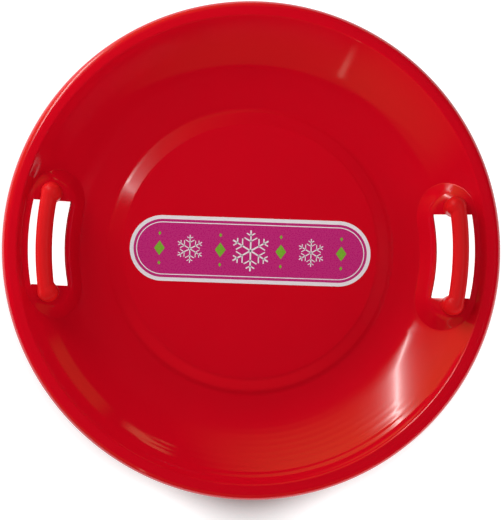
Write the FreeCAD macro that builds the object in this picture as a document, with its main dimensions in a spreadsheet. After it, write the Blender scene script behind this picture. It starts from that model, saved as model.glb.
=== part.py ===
import FreeCAD, Part
import math
import os
import Sketcher

Vector = FreeCAD.Vector

# Driving dimensions, in millimetres and degrees
sizes = [
    ("rim_radius", 300, "outer edge of the rolled lip"),
    ("dish_depth", 62, "top of the lip above the ground"),
    ("wall_thick", 3, "moulded wall, the same all over"),
    ("lip_width", 16, "plan width of the lip"),
    ("lip_roll", 10, "radius of the rolled edge"),
    ("lip_crease", 4, "radius of the corner between wall and lip"),
    ("skirt_drop", 16, "lower edge of the lip below its top"),
    ("wall_run", 98, "plan width of the sloping wall"),
    ("wall_bend", 220, "radius of the wall's slight bow"),
    ("foot_round", 80, "radius of the curve at the foot of the wall"),
    ("ring_width", 8, "flat ring that the sled rests on"),
    ("band_run", 25, "plan width of the slope around the centre disc"),
    ("disc_rise", 7, "centre disc above the ring"),
    ("disc_round", 12, "radius of the centre disc's edge"),
    ("band_round", 15, "radius at the foot of the slope"),
    ("pod_inset", 57, "middle of a pod from the rim"),
    ("pod_drop", 17, "middle of a pod's top below the lip"),
    ("pod_run", 121.68, "plan length in which the slope of a pod's top climbs the dish's depth"),
    ("pod_width", 52, "width of a pod's top, corner to corner"),
    ("pod_span", 93, "distance between the centres of a pod's round ends"),
    ("pod_draft", 50, "lean of a pod's sides"),
    ("pod_round", 18, "radius of a pod's top edge"),
    ("pod_sink", 1.5, "inner foot of the pod form above the ground, inside the wall"),
    ("pod_foot_round", 2, "radius where a pod meets the wall"),
    ("window_in", 18.6, "inner edge of a window from the middle of the pod"),
    ("window_out", 25.5, "outer edge of a window from the middle of the pod"),
    ("window_end", 4, "end of a window beyond the centre of the pod's round end"),
    ("window_corner", 1.5, "corner radius of a window"),
    ("foot_out", 7.3, "grip foot out from the centre of the pod's round end"),
    ("foot_along", 11.6, "grip foot along from the centre of the pod's round end"),
    ("post_proud", 2.5, "radius of a grip's domed post beyond that of the bar"),
    ("post_inset", 1.5, "post's axis inwards from the end of the bar"),
    ("bar_diameter", 20, "grip bar"),
    ("bar_bend", 342, "plan radius of the bar's bend"),
    ("bar_rise", 21, "bar's axis above the foot"),
    ("dome_proud", 0.5, "top of a post's dome above the bar"),
    ("grip_blend", 4, "radius between bar and dome"),
    ("seat_gap", 0.05, "clearance under a foot and under a screw's flange"),
    ("screw_diameter", 5, "screw shank"),
    ("screw_length", 16, "screw below its flange"),
    ("flange_diameter", 12, "screw flange"),
    ("flange_thick", 1.2, "screw flange"),
    ("head_diameter", 8, "screw head"),
    ("head_height", 3, "screw head above its flange"),
    ("screw_clearance", 0.2, "all round a screw's shank"),
    ("label_width", 80, "short side of the label"),
    ("label_margin", 6, "label's end to the edge of the centre disc"),
    ("label_thick", 0.3, "label film"),
    ("plug_depth", 20, "depth of the solid form below the ground, before it is hollowed"),
    ("overrun", 5, "how far a cut runs past what it cuts"),
]

# Tolerances for finding edges on a built shape
sharp_angle = math.radians(20)
fine = 0.01

doc = FreeCAD.newDocument("saucer_sled")
sheet = doc.addObject("Spreadsheet::Sheet", "sizes")
for row, (alias, value, note) in enumerate(sizes, 1):
    sheet.set(f"A{row}", str(value))
    sheet.setAlias(f"A{row}", alias)
    sheet.set(f"B{row}", note)

# Places that follow from the driving dimensions
places = [
    ("lip_inner", "rim_radius - lip_width"),
    ("ring_outer", "lip_inner - wall_run"),
    ("ring_inner", "ring_outer - ring_width"),
    ("disc_radius", "ring_inner - band_run"),
    ("disc_height", "wall_thick + disc_rise"),
    ("pod_radius", "rim_radius - pod_inset"),
    ("pod_height", "dish_depth - pod_drop"),
    ("pod_tilt", "atan(dish_depth / pod_run) / 1 deg"),
    ("pod_turn", "asin(pod_span / 2 / pod_radius) / 1 deg"),
    ("pod_lean", "cos(pod_tilt * 1 deg) + tan(pod_draft * 1 deg) * sin(pod_tilt * 1 deg)"),
    ("pod_depth", "(pod_height - pod_sink - pod_width / 2 * sin(pod_tilt * 1 deg)) / pod_lean"),
    ("window_length", "pod_span + 2 * window_end"),
    ("foot_reach", "pod_radius + foot_out * cos(pod_tilt * 1 deg)"),
    ("foot_across", "foot_reach * cos(pod_turn * 1 deg) - foot_along * sin(pod_turn * 1 deg)"),
    ("foot_side", "foot_reach * sin(pod_turn * 1 deg) + foot_along * cos(pod_turn * 1 deg)"),
    ("foot_height", "pod_height + foot_out * sin(pod_tilt * 1 deg)"),
    ("bar_height", "foot_height + bar_rise"),
    ("bar_pivot", "foot_across + post_inset - sqrt(bar_bend ^ 2 - foot_side ^ 2)"),
    ("bar_turn", "2 * asin(foot_side / bar_bend) / 1 deg"),
    ("post_radius", "bar_diameter / 2 + post_proud"),
    ("dome_height", "bar_height + bar_diameter / 2 + dome_proud - post_radius"),
    ("post_bottom", "foot_height - post_radius * tan(pod_tilt * 1 deg) - overrun"),
    ("bore_depth", "screw_length - wall_thick + screw_clearance"),
    ("label_length", "2 * (disc_radius - label_margin)"),
]
for row, (alias, formula) in enumerate(places, 1):
    sheet.set(f"D{row}", "=" + formula)
    sheet.setAlias(f"D{row}", alias)
doc.recompute()


def size(alias):
    return float(sheet.get(alias))


def new_body(name):
    body = doc.addObject("PartDesign::Body", name)
    body.Label = name
    return body


def origin_item(body, role):
    return [item for item in body.Origin.OriginFeatures if item.Role == role][0]


def turned(axis, angle):
    return f"create(<<rotation>>; create(<<vector>>; {axis}); {angle})"


def placed(x, y, z, rotation):
    return f"create(<<placement>>; create(<<vector>>; {x}; {y}; {z}); {rotation})"


def new_sketch(body, name, role, offset=None):
    sketch = body.newObject("Sketcher::SketchObject", name)
    sketch.AttachmentSupport = [(origin_item(body, role), "")]
    sketch.MapMode = "FlatFace"
    if offset:
        sketch.setExpression("AttachmentOffset", offset)
    return sketch


def line(sketch, start, end, construction=False):
    return sketch.addGeometry(Part.LineSegment(Vector(*start, 0), Vector(*end, 0)), construction)


def arc(sketch, centre, radius, first, last):
    circle = Part.Circle(Vector(*centre, 0), Vector(0, 0, 1), radius)
    return sketch.addGeometry(Part.ArcOfCircle(circle, math.radians(first), math.radians(last)), False)


def arc_end(centre, radius, angle):
    turn = math.radians(angle)
    return (centre[0] + radius * math.cos(turn), centre[1] + radius * math.sin(turn))


def rule(sketch, kind, *parts):
    return sketch.addConstraint(Sketcher.Constraint(kind, *parts))


def bind(sketch, kind, parts, value, formula):
    index = sketch.addConstraint(Sketcher.Constraint(kind, *parts, value))
    sketch.setExpression(f"Constraints[{index}]", formula)


def feature(body, kind, name, sketch, **settings):
    made = body.newObject("PartDesign::" + kind, name)
    made.Profile = sketch
    for key, value in settings.items():
        setattr(made, key, value)
    return made


# A frame on a pod's round end: origin at the end's centre on the pod's top, axis square to the top
def end_frame(side, end):
    around = placed(0, 0, 0, turned("0; 0; 1", f"{side} + {end} * sizes.pod_turn"))
    tilted = placed("sizes.pod_radius", 0, "sizes.pod_height", turned("0; 1; 0", "-sizes.pod_tilt"))
    return f"{around} * {tilted}"


# Dish: one moulded skin, made as a solid form that is then hollowed from below
def dish_form(body):
    sketch = new_sketch(body, "dish_profile", "YZ_Plane")
    rim, depth, wall = size("rim_radius"), size("dish_depth"), size("wall_thick")
    disc, disc_z = size("disc_radius"), size("disc_height")
    ring_in, ring_out, lip_in = size("ring_inner"), size("ring_outer"), size("lip_inner")
    edge, band, foot = size("disc_round"), size("band_round"), size("foot_round")
    crease, plug, block = size("lip_crease"), size("plug_depth"), rim + size("overrun")
    # The slopes are first guesses, which the sketch then solves
    slope = math.degrees(math.atan2(disc_z - wall, ring_in - disc))
    edge_end = arc_end((disc, disc_z - edge), edge, 90 - slope)
    band_end = arc_end((ring_in, wall + band), band, 270 - slope)
    bend, run, fall = size("wall_bend"), lip_in - ring_out, wall + foot - depth + crease
    spread = ((bend + crease) ** 2 - (bend - foot) ** 2 - run ** 2 - fall ** 2) / (2 * (bend - foot))
    climb = math.degrees(math.asin(spread / math.hypot(run, fall)) - math.atan2(fall, run))
    bow = arc_end((ring_out, wall + foot), bend - foot, 90 + climb)
    steep = math.degrees(math.atan2(lip_in - bow[0], bow[1] - depth + crease))

    disc_top = line(sketch, (0, disc_z), (disc, disc_z))
    disc_edge = arc(sketch, (disc, disc_z - edge), edge, 90 - slope, 90)
    band_line = line(sketch, edge_end, band_end)
    band_foot = arc(sketch, (ring_in, wall + band), band, 270 - slope, 270)
    ring = line(sketch, (ring_in, wall), (ring_out, wall))
    wall_foot = arc(sketch, (ring_out, wall + foot), foot, 270, 270 + climb)
    wall_line = arc(sketch, bow, bend, 270 + climb, 270 + steep)
    lip_corner = arc(sketch, (lip_in, depth - crease), crease, 90, 90 + steep)
    lip_top = line(sketch, (lip_in, depth), (block, depth))
    outside = line(sketch, (block, depth), (block, -plug))
    base = line(sketch, (block, -plug), (0, -plug))
    axis = line(sketch, (0, -plug), (0, disc_z))

    smooth_joints = [
        (disc_top, 2, disc_edge, 2), (disc_edge, 1, band_line, 1), (band_line, 2, band_foot, 1),
        (band_foot, 2, ring, 1), (ring, 2, wall_foot, 1), (wall_foot, 2, wall_line, 1),
        (wall_line, 2, lip_corner, 2), (lip_corner, 1, lip_top, 1),
    ]
    for joint in smooth_joints:
        rule(sketch, "Tangent", *joint)
    corners = [(lip_top, 2, outside, 1), (outside, 2, base, 1), (base, 2, axis, 1), (axis, 2, disc_top, 1)]
    for joint in corners:
        rule(sketch, "Coincident", *joint)
    for level in (disc_top, ring, lip_top, base):
        rule(sketch, "Horizontal", level)
    for upright in (outside, axis):
        rule(sketch, "Vertical", upright)
    rule(sketch, "PointOnObject", axis, 1, -2)

    rounds = [(disc_edge, "disc_round"), (band_foot, "band_round"), (wall_foot, "foot_round"),
              (wall_line, "wall_bend"), (lip_corner, "lip_crease")]
    for curve, alias in rounds:
        bind(sketch, "Radius", (curve,), size(alias), "sizes." + alias)
    radii = [(disc_top, 2, "disc_radius"), (ring, 1, "ring_inner"), (ring, 2, "ring_outer"),
             (lip_top, 1, "lip_inner")]
    for curve, point, alias in radii:
        bind(sketch, "DistanceX", (-1, 1, curve, point), size(alias), "sizes." + alias)
    heights = [(disc_top, 2, "disc_height"), (ring, 1, "wall_thick"), (lip_top, 1, "dish_depth")]
    for curve, point, alias in heights:
        bind(sketch, "DistanceY", (-1, 1, curve, point), size(alias), "sizes." + alias)
    bind(sketch, "DistanceX", (-1, 1, outside, 1), block, "sizes.rim_radius + sizes.overrun")
    bind(sketch, "DistanceY", (base, 1, -1, 1), plug, "sizes.plug_depth")
    return feature(body, "Revolution", "dish_form", sketch,
                   ReferenceAxis=(origin_item(body, "Z_Axis"), [""]))


# Cuts a ring of rectangular section off the dish: each side is a value and its formula
def ring_cut(body, name, inner, outer, lower, upper):
    sketch = new_sketch(body, name + "_section", "YZ_Plane")
    corners = [(inner[0], lower[0]), (outer[0], lower[0]), (outer[0], upper[0]), (inner[0], upper[0])]
    sides = [line(sketch, corners[i], corners[(i + 1) % len(corners)]) for i in range(len(corners))]
    for i, side in enumerate(sides):
        rule(sketch, "Coincident", side, 2, sides[(i + 1) % len(sides)], 1)
        rule(sketch, "Vertical" if i % 2 else "Horizontal", side)
    bind(sketch, "DistanceX", (-1, 1, sides[0], 1), *inner)
    bind(sketch, "DistanceX", (-1, 1, sides[0], 2), *outer)
    bind(sketch, "DistanceY", (sides[0], 1, -1, 1), -lower[0], lower[1])
    bind(sketch, "DistanceY", (-1, 1, sides[2], 1), *upper)
    return feature(body, "Groove", name, sketch, ReferenceAxis=(origin_item(body, "Z_Axis"), [""]))


# Rounded trapezoid of a pod, in the frame of its top: the whole section, or its outer half for a round end
def pod_section(body, name, offset, whole):
    sketch = new_sketch(body, name, "XZ_Plane", offset)
    half, draft, edge = size("pod_width") / 2, math.radians(size("pod_draft")), size("pod_round")
    depth = size("pod_depth")
    flat = half - edge * math.tan((math.pi / 2 - draft) / 2)
    side_top = (flat + edge * math.cos(draft), edge * math.sin(draft) - edge)
    side_foot = (half + depth * math.tan(draft), -depth)
    start = -flat if whole else 0
    top = line(sketch, (start, 0), (flat, 0))
    floor = line(sketch, (-side_foot[0] if whole else 0, -depth), side_foot)
    rule(sketch, "Horizontal", top)
    rule(sketch, "Horizontal", floor)
    rule(sketch, "PointOnObject", top, 2, -1)
    bind(sketch, "DistanceY", (floor, 2, -1, 1), depth, "sizes.pod_depth")
    for sign in ((1, -1) if whole else (1,)):
        lean = math.degrees(draft)
        first, last = (lean, 90) if sign > 0 else (90, 180 - lean)
        corner = arc(sketch, (sign * flat, -edge), edge, first, last)
        side = line(sketch, (sign * side_top[0], side_top[1]), (sign * side_foot[0], side_foot[1]))
        upper, lower = (2, 1) if sign > 0 else (1, 2)
        rule(sketch, "Tangent", top, 2 if sign > 0 else 1, corner, upper)
        rule(sketch, "Tangent", corner, lower, side, 1)
        rule(sketch, "Coincident", side, 2, floor, 2 if sign > 0 else 1)
        bind(sketch, "Radius", (corner,), edge, "sizes.pod_round")
        reach = "sizes.pod_width / 2 - sizes.pod_round * tan((90 deg - sizes.pod_draft * 1 deg) / 2)"
        parts = (-1, 1, top, 2) if sign > 0 else (top, 1, -1, 1)
        bind(sketch, "DistanceX", parts, flat, reach)
        splay = "sizes.pod_width / 2 + sizes.pod_depth * tan(sizes.pod_draft * 1 deg)"
        parts = (-1, 1, floor, 2) if sign > 0 else (floor, 1, -1, 1)
        bind(sketch, "DistanceX", parts, side_foot[0], splay)
    if not whole:
        axis = line(sketch, (0, -depth), (0, 0))
        rule(sketch, "Coincident", axis, 1, floor, 1)
        rule(sketch, "Coincident", axis, 2, top, 1)
        rule(sketch, "Vertical", axis)
        rule(sketch, "PointOnObject", top, 1, -2)
    return sketch


# The plane of a pod's section: across its middle, or across the start of a round end
def section_frame(side, end):
    around = placed(0, 0, 0, turned("0; 1; 0", f"{side} + {end} * sizes.pod_turn"))
    tilt = placed("sizes.pod_radius", "sizes.pod_height", 0, turned("0; 0; 1", "sizes.pod_tilt"))
    return f"{around} * {tilt}"


def pod_forms(body):
    section = pod_section(body, "pod_section", section_frame(0, 0), True)
    middle = feature(body, "Revolution", "pod_middle", section,
                     ReferenceAxis=(origin_item(body, "Z_Axis"), [""]), Midplane=True)
    middle.setExpression("Angle", "2 * sizes.pod_turn")
    made = [middle]
    for end in (1, -1):
        half = pod_section(body, f"pod_half_section_{len(made)}", section_frame(0, end), False)
        cap = feature(body, "Revolution", f"pod_end_{len(made)}", half,
                      ReferenceAxis=(half, ["V_Axis"]), Angle=180, Reversed=end < 0)
        made.append(cap)
    return made


# The rim's upper edge, before it is rolled
def rim_edges(shape):
    names = []
    for index, edge in enumerate(shape.Edges, 1):
        point = edge.valueAt(edge.FirstParameter)
        outermost = abs(math.hypot(point.x, point.y) - size("rim_radius")) < fine
        if outermost and abs(edge.BoundBox.ZMin - size("dish_depth")) < fine:
            names.append(f"Edge{index}")
    return names


# Edges where a pod's sides run into the wall: the only sharp ones on the form near the pods
def pod_foot_edges(shape):
    names = []
    for index, edge in enumerate(shape.Edges, 1):
        point = edge.valueAt((edge.FirstParameter + edge.LastParameter) / 2)
        if abs(point.y) > size("pod_span") or abs(point.x) < size("ring_outer"):
            continue
        normals = []
        for face in shape.ancestorsOfType(edge, Part.Face):
            normals.append(face.normalAt(*face.Surface.parameter(point)))
        if normals[0].getAngle(normals[-1]) > sharp_angle:
            names.append(f"Edge{index}")
    return names


# Window seen from above: two arcs around the dish's axis, two straight ends and four round corners
def window_sketch(body, name, turn):
    sketch = new_sketch(body, name, "XY_Plane", placed(0, 0, 0, turned("0; 0; 1", turn)))
    inner, outer = size("pod_radius") - size("window_in"), size("pod_radius") + size("window_out")
    half, corner = size("window_length") / 2, size("window_corner")
    sides = []
    for radius, middle, formula in ((inner, inner + corner, "sizes.pod_radius - sizes.window_in"),
                                    (outer, outer - corner, "sizes.pod_radius + sizes.window_out")):
        spread = math.degrees(math.asin((half - corner) / middle))
        sides.append((arc(sketch, (0, 0), radius, -spread, spread), middle, spread))
        rule(sketch, "Coincident", sides[-1][0], 3, -1, 1)
        bind(sketch, "Radius", (sides[-1][0],), radius, formula)
    for sign in (1, -1):
        centres = [arc_end((0, 0), middle, sign * spread) for curve, middle, spread in sides]
        cut = line(sketch, (centres[0][0], sign * half), (centres[1][0], sign * half))
        rule(sketch, "Horizontal", cut)
        parts = (-1, 1, cut, 1) if sign > 0 else (cut, 1, -1, 1)
        bind(sketch, "DistanceY", parts, half, "sizes.window_length / 2")
        for side, (curve, middle, spread) in enumerate(sides):
            towards_axis = 180 + sign * spread if side == 0 else sign * spread
            first, last = sorted((sign * 90 % 360, towards_axis % 360))
            if last - first > 180:
                first, last = last, first + 360
            turn_arc = arc(sketch, centres[side], corner, first, last)
            on_cut = 1 if abs(first % 360 - sign * 90 % 360) < fine else 2
            rule(sketch, "Tangent", turn_arc, on_cut, cut, 1 + side)
            rule(sketch, "Tangent", turn_arc, 3 - on_cut, curve, 2 if sign > 0 else 1)
            bind(sketch, "Radius", (turn_arc,), corner, "sizes.window_corner")
    return sketch


def screw_hole(body, name, side, end, kind):
    sketch = new_sketch(body, name, "XY_Plane", end_frame(side, end))
    radius = size("screw_diameter") / 2 + size("screw_clearance")
    place = Vector(size("foot_out"), end * size("foot_along"), 0)
    hole = sketch.addGeometry(Part.Circle(place, Vector(0, 0, 1), radius), False)
    bind(sketch, "Radius", (hole,), radius, "sizes.screw_diameter / 2 + sizes.screw_clearance")
    bind(sketch, "DistanceX", (-1, 1, hole, 3), place.x, "sizes.foot_out")
    parts = (-1, 1, hole, 3) if end > 0 else (hole, 3, -1, 1)
    bind(sketch, "DistanceY", parts, abs(place.y), "sizes.foot_along")
    return feature(body, "Pocket", name + "_cut", sketch, **kind)


def make_dish():
    body = new_body("dish")
    dish_form(body)
    pods = pod_forms(body)
    both = body.newObject("PartDesign::PolarPattern", "both_pods")
    both.Originals = pods
    both.Axis = (origin_item(body, "Z_Axis"), [""])
    both.Angle = 360
    both.Occurrences = 2
    body.Tip = both

    # The rim is cut round after the pods, whose hidden outer sides may reach past it, and then rolled
    rim = size("rim_radius")
    edge = (rim, "sizes.rim_radius")
    far = (rim + size("pod_width"), "sizes.rim_radius + sizes.pod_width")
    below = (-size("plug_depth") - size("overrun"), "sizes.plug_depth + sizes.overrun")
    above = (size("dish_depth") + size("overrun"), "sizes.dish_depth + sizes.overrun")
    cut = ring_cut(body, "rim_cut", edge, far, below, above)
    doc.recompute()
    roll = body.newObject("PartDesign::Fillet", "rolled_edge")
    roll.Base = (cut, rim_edges(cut.Shape))
    roll.setExpression("Radius", "sizes.lip_roll")
    doc.recompute()

    feet = body.newObject("PartDesign::Fillet", "pod_feet")
    feet.Base = (roll, pod_foot_edges(roll.Shape))
    feet.setExpression("Radius", "sizes.pod_foot_round")
    doc.recompute()

    under = [f"Face{index}" for index, face in enumerate(feet.Shape.Faces, 1)
             if face.BoundBox.ZMax < fine - size("plug_depth")]
    skin = body.newObject("PartDesign::Thickness", "skin")
    skin.Base = (feet, under)
    skin.setExpression("Value", "sizes.wall_thick")
    skin.Reversed = True
    doc.recompute()

    # The lip ends in a short skirt: everything of the form below it goes
    inner = (rim - 2 * size("wall_thick"), "sizes.rim_radius - 2 * sizes.wall_thick")
    upper = (size("dish_depth") - size("skirt_drop"), "sizes.dish_depth - sizes.skirt_drop")
    ring_cut(body, "skirt_trim", inner, far, below, upper)

    for side in (0, 180):
        window = window_sketch(body, f"window_{side}", side)
        feature(body, "Pocket", f"window_cut_{side}", window, Type="ThroughAll", Midplane=True)
        for end in (1, -1):
            hole = screw_hole(body, f"screw_hole_{side}_{2 + end}", side, end, {"Midplane": True})
            hole.setExpression("Length", "2 * (sizes.wall_thick + sizes.overrun)")
    return body


# Grip: a bent bar between two domed posts, each cut to sit on its end of the pod
def make_grip(name, side):
    body = new_body(name)
    sketch = new_sketch(body, name + "_bar", "XZ_Plane")
    reach, height = size("bar_pivot") + size("bar_bend"), size("bar_height")
    radius = size("bar_diameter") / 2
    ring = sketch.addGeometry(Part.Circle(Vector(reach, height, 0), Vector(0, 0, 1), radius), False)
    pivot = line(sketch, (size("bar_pivot"), 0), (size("bar_pivot"), height), True)
    rule(sketch, "Vertical", pivot)
    rule(sketch, "PointOnObject", pivot, 1, -1)
    rule(sketch, "Horizontal", pivot, 2, ring, 3)
    bind(sketch, "Radius", (ring,), radius, "sizes.bar_diameter / 2")
    bind(sketch, "DistanceX", (pivot, 2, ring, 3), size("bar_bend"), "sizes.bar_bend")
    bind(sketch, "DistanceX", (-1, 1, ring, 3), reach, "sizes.bar_pivot + sizes.bar_bend")
    bind(sketch, "DistanceY", (-1, 1, ring, 3), height, "sizes.bar_height")
    bar = feature(body, "Revolution", name + "_bend", sketch,
                  ReferenceAxis=(sketch, ["Axis0"]), Midplane=True)
    bar.setExpression("Angle", "sizes.bar_turn")

    radius, dome, bottom = size("post_radius"), size("dome_height"), size("post_bottom")
    for end in (1, -1):
        label = f"{name}_post_{2 + end}"
        place = placed("sizes.foot_across", 0, f"-{end} * sizes.foot_side", turned("0; 0; 1", 0))
        sketch = new_sketch(body, label, "XZ_Plane", place)
        top = arc(sketch, (0, dome), radius, 0, 90)
        wall = line(sketch, (radius, dome), (radius, bottom))
        base = line(sketch, (radius, bottom), (0, bottom))
        axis = line(sketch, (0, bottom), (0, dome + radius))
        rule(sketch, "Tangent", top, 1, wall, 1)
        for joint in [(wall, 2, base, 1), (base, 2, axis, 1), (axis, 2, top, 2)]:
            rule(sketch, "Coincident", *joint)
        rule(sketch, "Vertical", wall)
        rule(sketch, "Horizontal", base)
        rule(sketch, "PointOnObject", axis, 1, -2)
        rule(sketch, "PointOnObject", axis, 2, -2)
        rule(sketch, "PointOnObject", top, 3, -2)
        bind(sketch, "Radius", (top,), radius, "sizes.post_radius")
        bind(sketch, "DistanceY", (-1, 1, top, 3), dome, "sizes.dome_height")
        bind(sketch, "DistanceY", (-1, 1, base, 1), bottom, "sizes.post_bottom")
        feature(body, "Revolution", label + "_form", sketch, ReferenceAxis=(sketch, ["V_Axis"]))
    doc.recompute()

    joined = body.Tip
    blend = body.newObject("PartDesign::Fillet", name + "_blend")
    blend.Base = (joined, knuckle_edges(joined.Shape))
    blend.setExpression("Radius", "sizes.grip_blend")
    doc.recompute()

    # Each foot is hollowed to the pod's round end, with a little clearance
    for end in (1, -1):
        label = f"{name}_seat_{2 + end}"
        lift = placed(0, "sizes.seat_gap", 0, turned("0; 0; 1", 0))
        seat = pod_section(body, label, f"{section_frame(0, end)} * {lift}", False)
        feature(body, "Groove", label + "_cut", seat, ReferenceAxis=(seat, ["V_Axis"]), Angle=360)
        bore = screw_hole(body, f"{name}_bore_{2 + end}", 0, end, {"Reversed": True})
        bore.setExpression("Length", "sizes.bore_depth")
    body.setExpression("Placement", placed(0, 0, 0, turned("0; 0; 1", side)))
    return body


# Edges where the bar runs into a dome
def knuckle_edges(shape):
    names = []
    for index, edge in enumerate(shape.Edges, 1):
        kinds = {type(face.Surface).__name__ for face in shape.ancestorsOfType(edge, Part.Face)}
        if "Toroid" in kinds and len(kinds) > 1:
            names.append(f"Edge{index}")
    return names


# Flanged self-tapping screw, driven up through the pod's top into a grip's foot
def make_screw(side, end):
    name = f"grip_screw_{side}_{2 + end}"
    body = new_body(name)
    foot = placed("sizes.foot_out", "-sizes.wall_thick - sizes.seat_gap", f"-{end} * sizes.foot_along",
                  turned("0; 0; 1", 0))
    sketch = new_sketch(body, name + "_profile", "XZ_Plane", f"{section_frame(side, end)} * {foot}")
    shank, flange, head = size("screw_diameter") / 2, size("flange_diameter") / 2, size("head_diameter") / 2
    length, thick = size("screw_length"), size("flange_thick")
    low = -thick - size("head_height")
    points = [(0, length), (shank, length - shank), (shank, 0), (flange, 0), (flange, -thick),
              (head, -thick), (head, low), (0, low)]
    sides = [line(sketch, points[i], points[(i + 1) % len(points)]) for i in range(len(points))]
    for i, edge in enumerate(sides):
        rule(sketch, "Coincident", edge, 2, sides[(i + 1) % len(sides)], 1)
    for level in (sides[2], sides[4], sides[6]):
        rule(sketch, "Horizontal", level)
    for upright in (sides[1], sides[3], sides[5]):
        rule(sketch, "Vertical", upright)
    rule(sketch, "PointOnObject", sides[2], 1, -1)
    rule(sketch, "PointOnObject", sides[0], 1, -2)
    rule(sketch, "PointOnObject", sides[7], 1, -2)
    bind(sketch, "DistanceY", (-1, 1, sides[0], 1), length, "sizes.screw_length")
    bind(sketch, "DistanceY", (-1, 1, sides[1], 1), length - shank,
         "sizes.screw_length - sizes.screw_diameter / 2")
    bind(sketch, "DistanceX", (-1, 1, sides[1], 1), shank, "sizes.screw_diameter / 2")
    bind(sketch, "DistanceX", (-1, 1, sides[3], 1), flange, "sizes.flange_diameter / 2")
    bind(sketch, "DistanceX", (-1, 1, sides[5], 1), head, "sizes.head_diameter / 2")
    bind(sketch, "DistanceY", (sides[3], 2, -1, 1), thick, "sizes.flange_thick")
    bind(sketch, "DistanceY", (sides[5], 2, sides[5], 1), -thick - low, "sizes.head_height")
    feature(body, "Revolution", name + "_turned", sketch, ReferenceAxis=(sketch, ["V_Axis"]))
    return body


def make_screws():
    group = doc.addObject("Part::Compound", "grip_screws")
    group.Label = "grip_screws"
    group.Links = [make_screw(side, end) for side in (0, 180) for end in (1, -1)]
    return group


# Label: a film with round ends across the flat of the centre disc
def make_label():
    body = new_body("centre_label")
    on_disc = placed(0, 0, "sizes.disc_height", turned("0; 0; 1", 0))
    sketch = new_sketch(body, "label_outline", "XY_Plane", on_disc)
    radius = size("label_width") / 2
    straight = size("label_length") / 2 - radius
    ends = [arc(sketch, (straight, 0), radius, -90, 90), arc(sketch, (-straight, 0), radius, 90, 270)]
    edges = [line(sketch, (straight, radius), (-straight, radius)),
             line(sketch, (-straight, -radius), (straight, -radius))]
    for i in range(len(ends)):
        rule(sketch, "Tangent", ends[i], 2, edges[i], 1)
        rule(sketch, "Tangent", edges[i], 2, ends[1 - i], 1)
    for end in ends:
        rule(sketch, "PointOnObject", end, 3, -1)
    rule(sketch, "Horizontal", edges[0])
    bind(sketch, "Radius", (ends[0],), radius, "sizes.label_width / 2")
    bind(sketch, "DistanceX", (-1, 1, ends[0], 3), straight, "(sizes.label_length - sizes.label_width) / 2")
    bind(sketch, "DistanceX", (ends[1], 3, -1, 1), straight, "(sizes.label_length - sizes.label_width) / 2")
    film = feature(body, "Pad", "label_film", sketch)
    film.setExpression("Length", "sizes.label_thick")
    return body


sub_parts = [make_dish(), make_grip("right_grip", 0), make_grip("left_grip", 180),
             make_screws(), make_label()]
doc.recompute()

failed = [item.Name for item in doc.Objects if "Invalid" in item.State or "Error" in item.State]
failed += [item.Label for item in sub_parts if item.Shape.isNull() or not item.Shape.isValid()]
if failed:
    raise RuntimeError("not built: " + ", ".join(failed))
os.makedirs("parts", exist_ok=True)
for item in sub_parts:
    item.Shape.exportStep(f"parts/{item.Label}.step")
    print(item.Label, len(item.Shape.Solids), "solids", round(item.Shape.Volume), "mm3")
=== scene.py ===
import math

import bmesh
import bpy
from mathutils import Matrix, Vector


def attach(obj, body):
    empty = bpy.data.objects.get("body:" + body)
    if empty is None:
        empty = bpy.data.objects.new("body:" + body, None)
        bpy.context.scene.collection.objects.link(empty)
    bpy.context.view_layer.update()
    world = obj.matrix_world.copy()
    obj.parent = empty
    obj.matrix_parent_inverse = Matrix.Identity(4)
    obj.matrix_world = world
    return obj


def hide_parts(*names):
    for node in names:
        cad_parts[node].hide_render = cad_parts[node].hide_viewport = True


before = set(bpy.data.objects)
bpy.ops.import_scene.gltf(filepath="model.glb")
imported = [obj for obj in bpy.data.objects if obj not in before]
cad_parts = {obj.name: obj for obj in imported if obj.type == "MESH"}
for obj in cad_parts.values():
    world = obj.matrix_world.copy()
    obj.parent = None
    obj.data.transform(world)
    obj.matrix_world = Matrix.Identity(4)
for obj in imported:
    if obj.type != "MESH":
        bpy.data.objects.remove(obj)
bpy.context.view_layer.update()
mm = 0.001  # sizes below are in millimetres
weld = 0.001  # points nearer than this are one
sharpAngle = math.radians(40)  # edges that turn more than this stay sharp
print("frame:", ", ".join(sorted(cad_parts)))


def linear(hexColour):  # sRGB hex to linear light
    parts = [int(hexColour[i:i + 2], 16) / 255 for i in (1, 3, 5)]
    return [c / 12.92 if c <= 0.04045 else ((c + 0.055) / 1.055) ** 2.4 for c in parts] + [1]


def addNode(owner, kind, inputs=None, **settings):  # an input is a value, or an output to link
    node = owner.node_tree.nodes.new("ShaderNode" + kind)
    for name, value in settings.items():
        setattr(node, name, value)
    for name, value in (inputs or {}).items():
        if isinstance(value, bpy.types.NodeSocket):
            owner.node_tree.links.new(value, node.inputs[name])
        else:
            node.inputs[name].default_value = value
    return node


def calc(owner, operation, first, second=None, **settings):  # one step of arithmetic
    inputs = {0: first} if second is None else {0: first, 1: second}
    return addNode(owner, "Math", inputs, operation=operation, **settings).outputs[0]


def ramp(owner, value, start, end, low=0, high=1, **settings):  # from low to high, and level beyond
    return addNode(owner, "MapRange", {0: value, 1: start, 2: end, 3: low, 4: high}, **settings).outputs[0]


def within(owner, edges):  # 1 inside all the soft edges, each a value with its outer and inner end
    share = None
    for value, outer, inner in edges:
        edge = ramp(owner, value, outer, inner, interpolation_type="SMOOTHSTEP")
        share = calc(owner, "MULTIPLY", share, edge) if share else edge
    return share


def noise(owner, place, size, detail=2):
    inputs = {"Vector": place, "Scale": 1 / (size * mm), "Detail": detail}
    return addNode(owner, "TexNoise", inputs).outputs["Fac"]


def blend(owner, share, first, second):  # from one colour to another
    return addNode(owner, "Mix", {0: share, 6: first, 7: second}, data_type="RGBA").outputs[2]


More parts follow.
